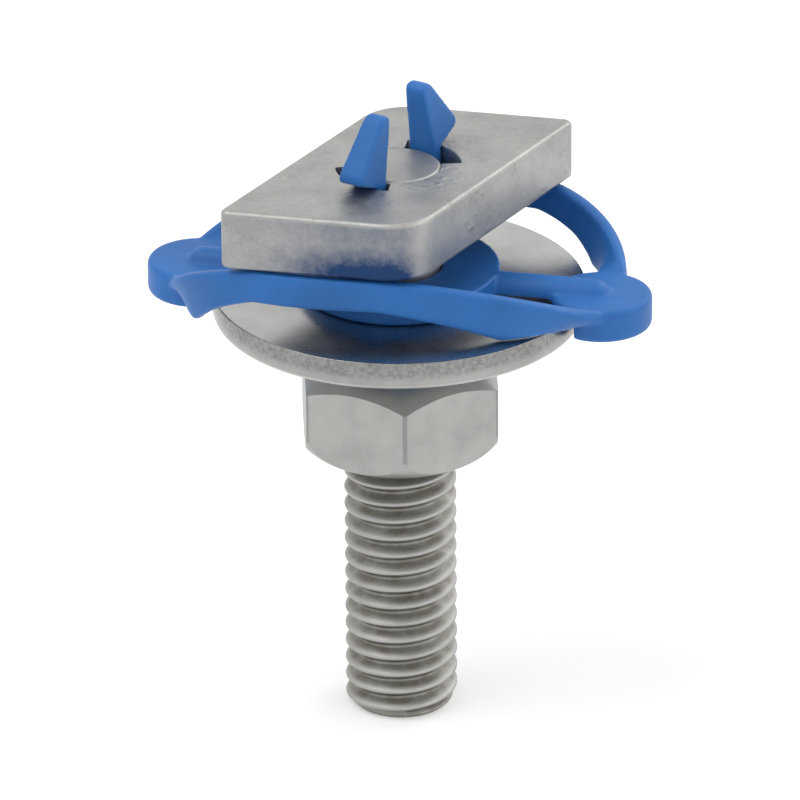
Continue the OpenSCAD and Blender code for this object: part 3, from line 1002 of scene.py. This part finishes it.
class TBOLT_OT_stage(bpy.types.Operator):
    """Pale floor, soft studio lights and the camera"""
    bl_idname = "tbolt.stage"
    bl_label = "Studio"

    def shown(self, tree):
        """1 where the camera, a reflection or a view through glass looks, and 0 for light."""
        path = tree.nodes.new("ShaderNodeLightPath")
        seen = path.outputs["Is Camera Ray"]
        for ray in ("Is Glossy Ray", "Is Transmission Ray"):
            either = tree.nodes.new("ShaderNodeMath")
            either.operation = "MAXIMUM"
            tree.links.new(seen, either.inputs[0])
            tree.links.new(path.outputs[ray], either.inputs[1])
            seen = either.outputs["Value"]
        return seen

    def floor(self, colour):
        """A wide pale floor under the stud's end."""
        deselect()
        bpy.ops.mesh.primitive_plane_add(size=6.0, location=(0, 0, 0))
        floor = bpy.context.object
        floor.name = "studio_floor"
        paper = Finish("studio_floor")
        paper.into("Roughness", 0.9)
        paper.into("Specular IOR Level", 0.1)
        pale = list(colour)
        cloud = paper.ramp(paper.noise(8.0, detail=2.0), (0.3, shade(pale, 0.985)), (0.7, pale))
        paper.into("Base Color", cloud)
        paper.into("Emission Color", (1, 1, 1, 1))
        glow = paper.math("MULTIPLY", self.shown(paper.tree), 0.3)
        paper.into("Emission Strength", glow)
        floor.data.materials.append(paper.material)

    def sky(self, scene):
        """Soft light from all round, brighter from above, before a white backdrop."""
        world = bpy.data.worlds.new("studio")
        scene.world = world
        world.use_nodes = True
        tree = world.node_tree
        light = tree.nodes["Background"]
        place = tree.nodes.new("ShaderNodeTexCoord")
        parts = tree.nodes.new("ShaderNodeSeparateXYZ")
        rise = tree.nodes.new("ShaderNodeMapRange")
        ramp = tree.nodes.new("ShaderNodeValToRGB")
        rise.inputs["From Min"].default_value = -1.0
        tree.links.new(place.outputs["Generated"], parts.inputs["Vector"])
        tree.links.new(parts.outputs["Z"], rise.inputs["Value"])
        tree.links.new(rise.outputs["Result"], ramp.inputs["Fac"])
        marks = ramp.color_ramp.elements
        marks[0].position, marks[0].color = 0.5, (0.38, 0.38, 0.39, 1)
        marks[1].position, marks[1].color = 0.9, (0.68, 0.68, 0.68, 1)
        tree.links.new(ramp.outputs["Color"], light.inputs["Color"])
        white = tree.nodes.new("ShaderNodeBackground")
        white.inputs["Color"].default_value = (1, 1, 1, 1)
        either = tree.nodes.new("ShaderNodeMixShader")
        tree.links.new(self.shown(tree), either.inputs["Fac"])
        tree.links.new(light.outputs["Background"], either.inputs[1])
        tree.links.new(white.outputs["Background"], either.inputs[2])
        tree.links.new(either.outputs["Shader"], tree.nodes["World Output"].inputs["Surface"])

    def lamp(self, name, place, size, power, aim):
        """A square soft box that faces the bolt."""
        deselect()
        bpy.ops.object.light_add(type="AREA", location=place)
        lamp = bpy.context.object
        lamp.name = name
        lamp.data.shape = "SQUARE"
        lamp.data.size = size
        lamp.data.energy = power
        lamp.rotation_mode = "QUATERNION"
        lamp.rotation_quaternion = (aim - Vector(place)).to_track_quat("-Z", "Y")

    def camera(self, scene, stage, aim):
        """A long lens at the photograph's angle."""
        level = math.cos(stage.elevation)
        cosine, sine = math.cos(stage.azimuth), math.sin(stage.azimuth)
        back = Vector((sine * level, -cosine * level, math.sin(stage.elevation)))
        right = Vector((cosine, sine, 0))
        deselect()
        bpy.ops.object.camera_add(location=aim + right * stage.aside + back * stage.distance)
        camera = bpy.context.object
        camera.rotation_mode = "QUATERNION"
        camera.rotation_quaternion = (-back).to_track_quat("-Z", "Y") @ Quaternion((0, 0, 1), stage.roll)
        camera.data.lens = stage.lens
        camera.data.sensor_width = 36.0
        camera.data.clip_start = 0.01
        scene.camera = camera

    def execute(self, context):
        scene = context.scene
        stage = scene.tbolt_stage
        aim = Vector((0, 0, stage.aim))
        self.floor(scene.tbolt_finish.floor)
        self.sky(scene)
        for name, place, size, power in LAMPS:
            self.lamp(name, place, size, power, aim)
        self.camera(scene, stage, aim)
        scene.view_settings.view_transform = "Standard"
        return {"FINISHED"}


class TBOLT_PT_panel(bpy.types.Panel):
    """Lists the bolt's pieces"""
    bl_idname = "TBOLT_PT_panel"
    bl_label = "T-head bolt"
    bl_space_type = "VIEW_3D"
    bl_region_type = "UI"
    bl_category = "T-head bolt"

    def draw(self, context):
        for operator in OPERATORS:
            self.layout.operator(operator.bl_idname)


OPERATORS = (TBOLT_OT_stud, TBOLT_OT_head_plate, TBOLT_OT_washer, TBOLT_OT_nut, TBOLT_OT_clip, TBOLT_OT_stage)
CLASSES = (*SETTINGS.values(), *OPERATORS, TBOLT_PT_panel)


def register():
    """Adds the classes and their settings."""
    for item in CLASSES:
        bpy.utils.register_class(item)
    for name, group in SETTINGS.items():
        setattr(bpy.types.Scene, name, PointerProperty(type=group))


def unregister():
    """Takes the settings and classes away again."""
    for name in SETTINGS:
        delattr(bpy.types.Scene, name)
    for item in reversed(CLASSES):
        bpy.utils.unregister_class(item)


def main():
    """Makes the pieces and the studio in order."""
    register()
    bpy.ops.tbolt.stud()
    bpy.ops.tbolt.head_plate()
    bpy.ops.tbolt.washer()
    bpy.ops.tbolt.nut()
    bpy.ops.tbolt.clip()
    bpy.ops.tbolt.stage()


if __name__ == "__main__":
    main()
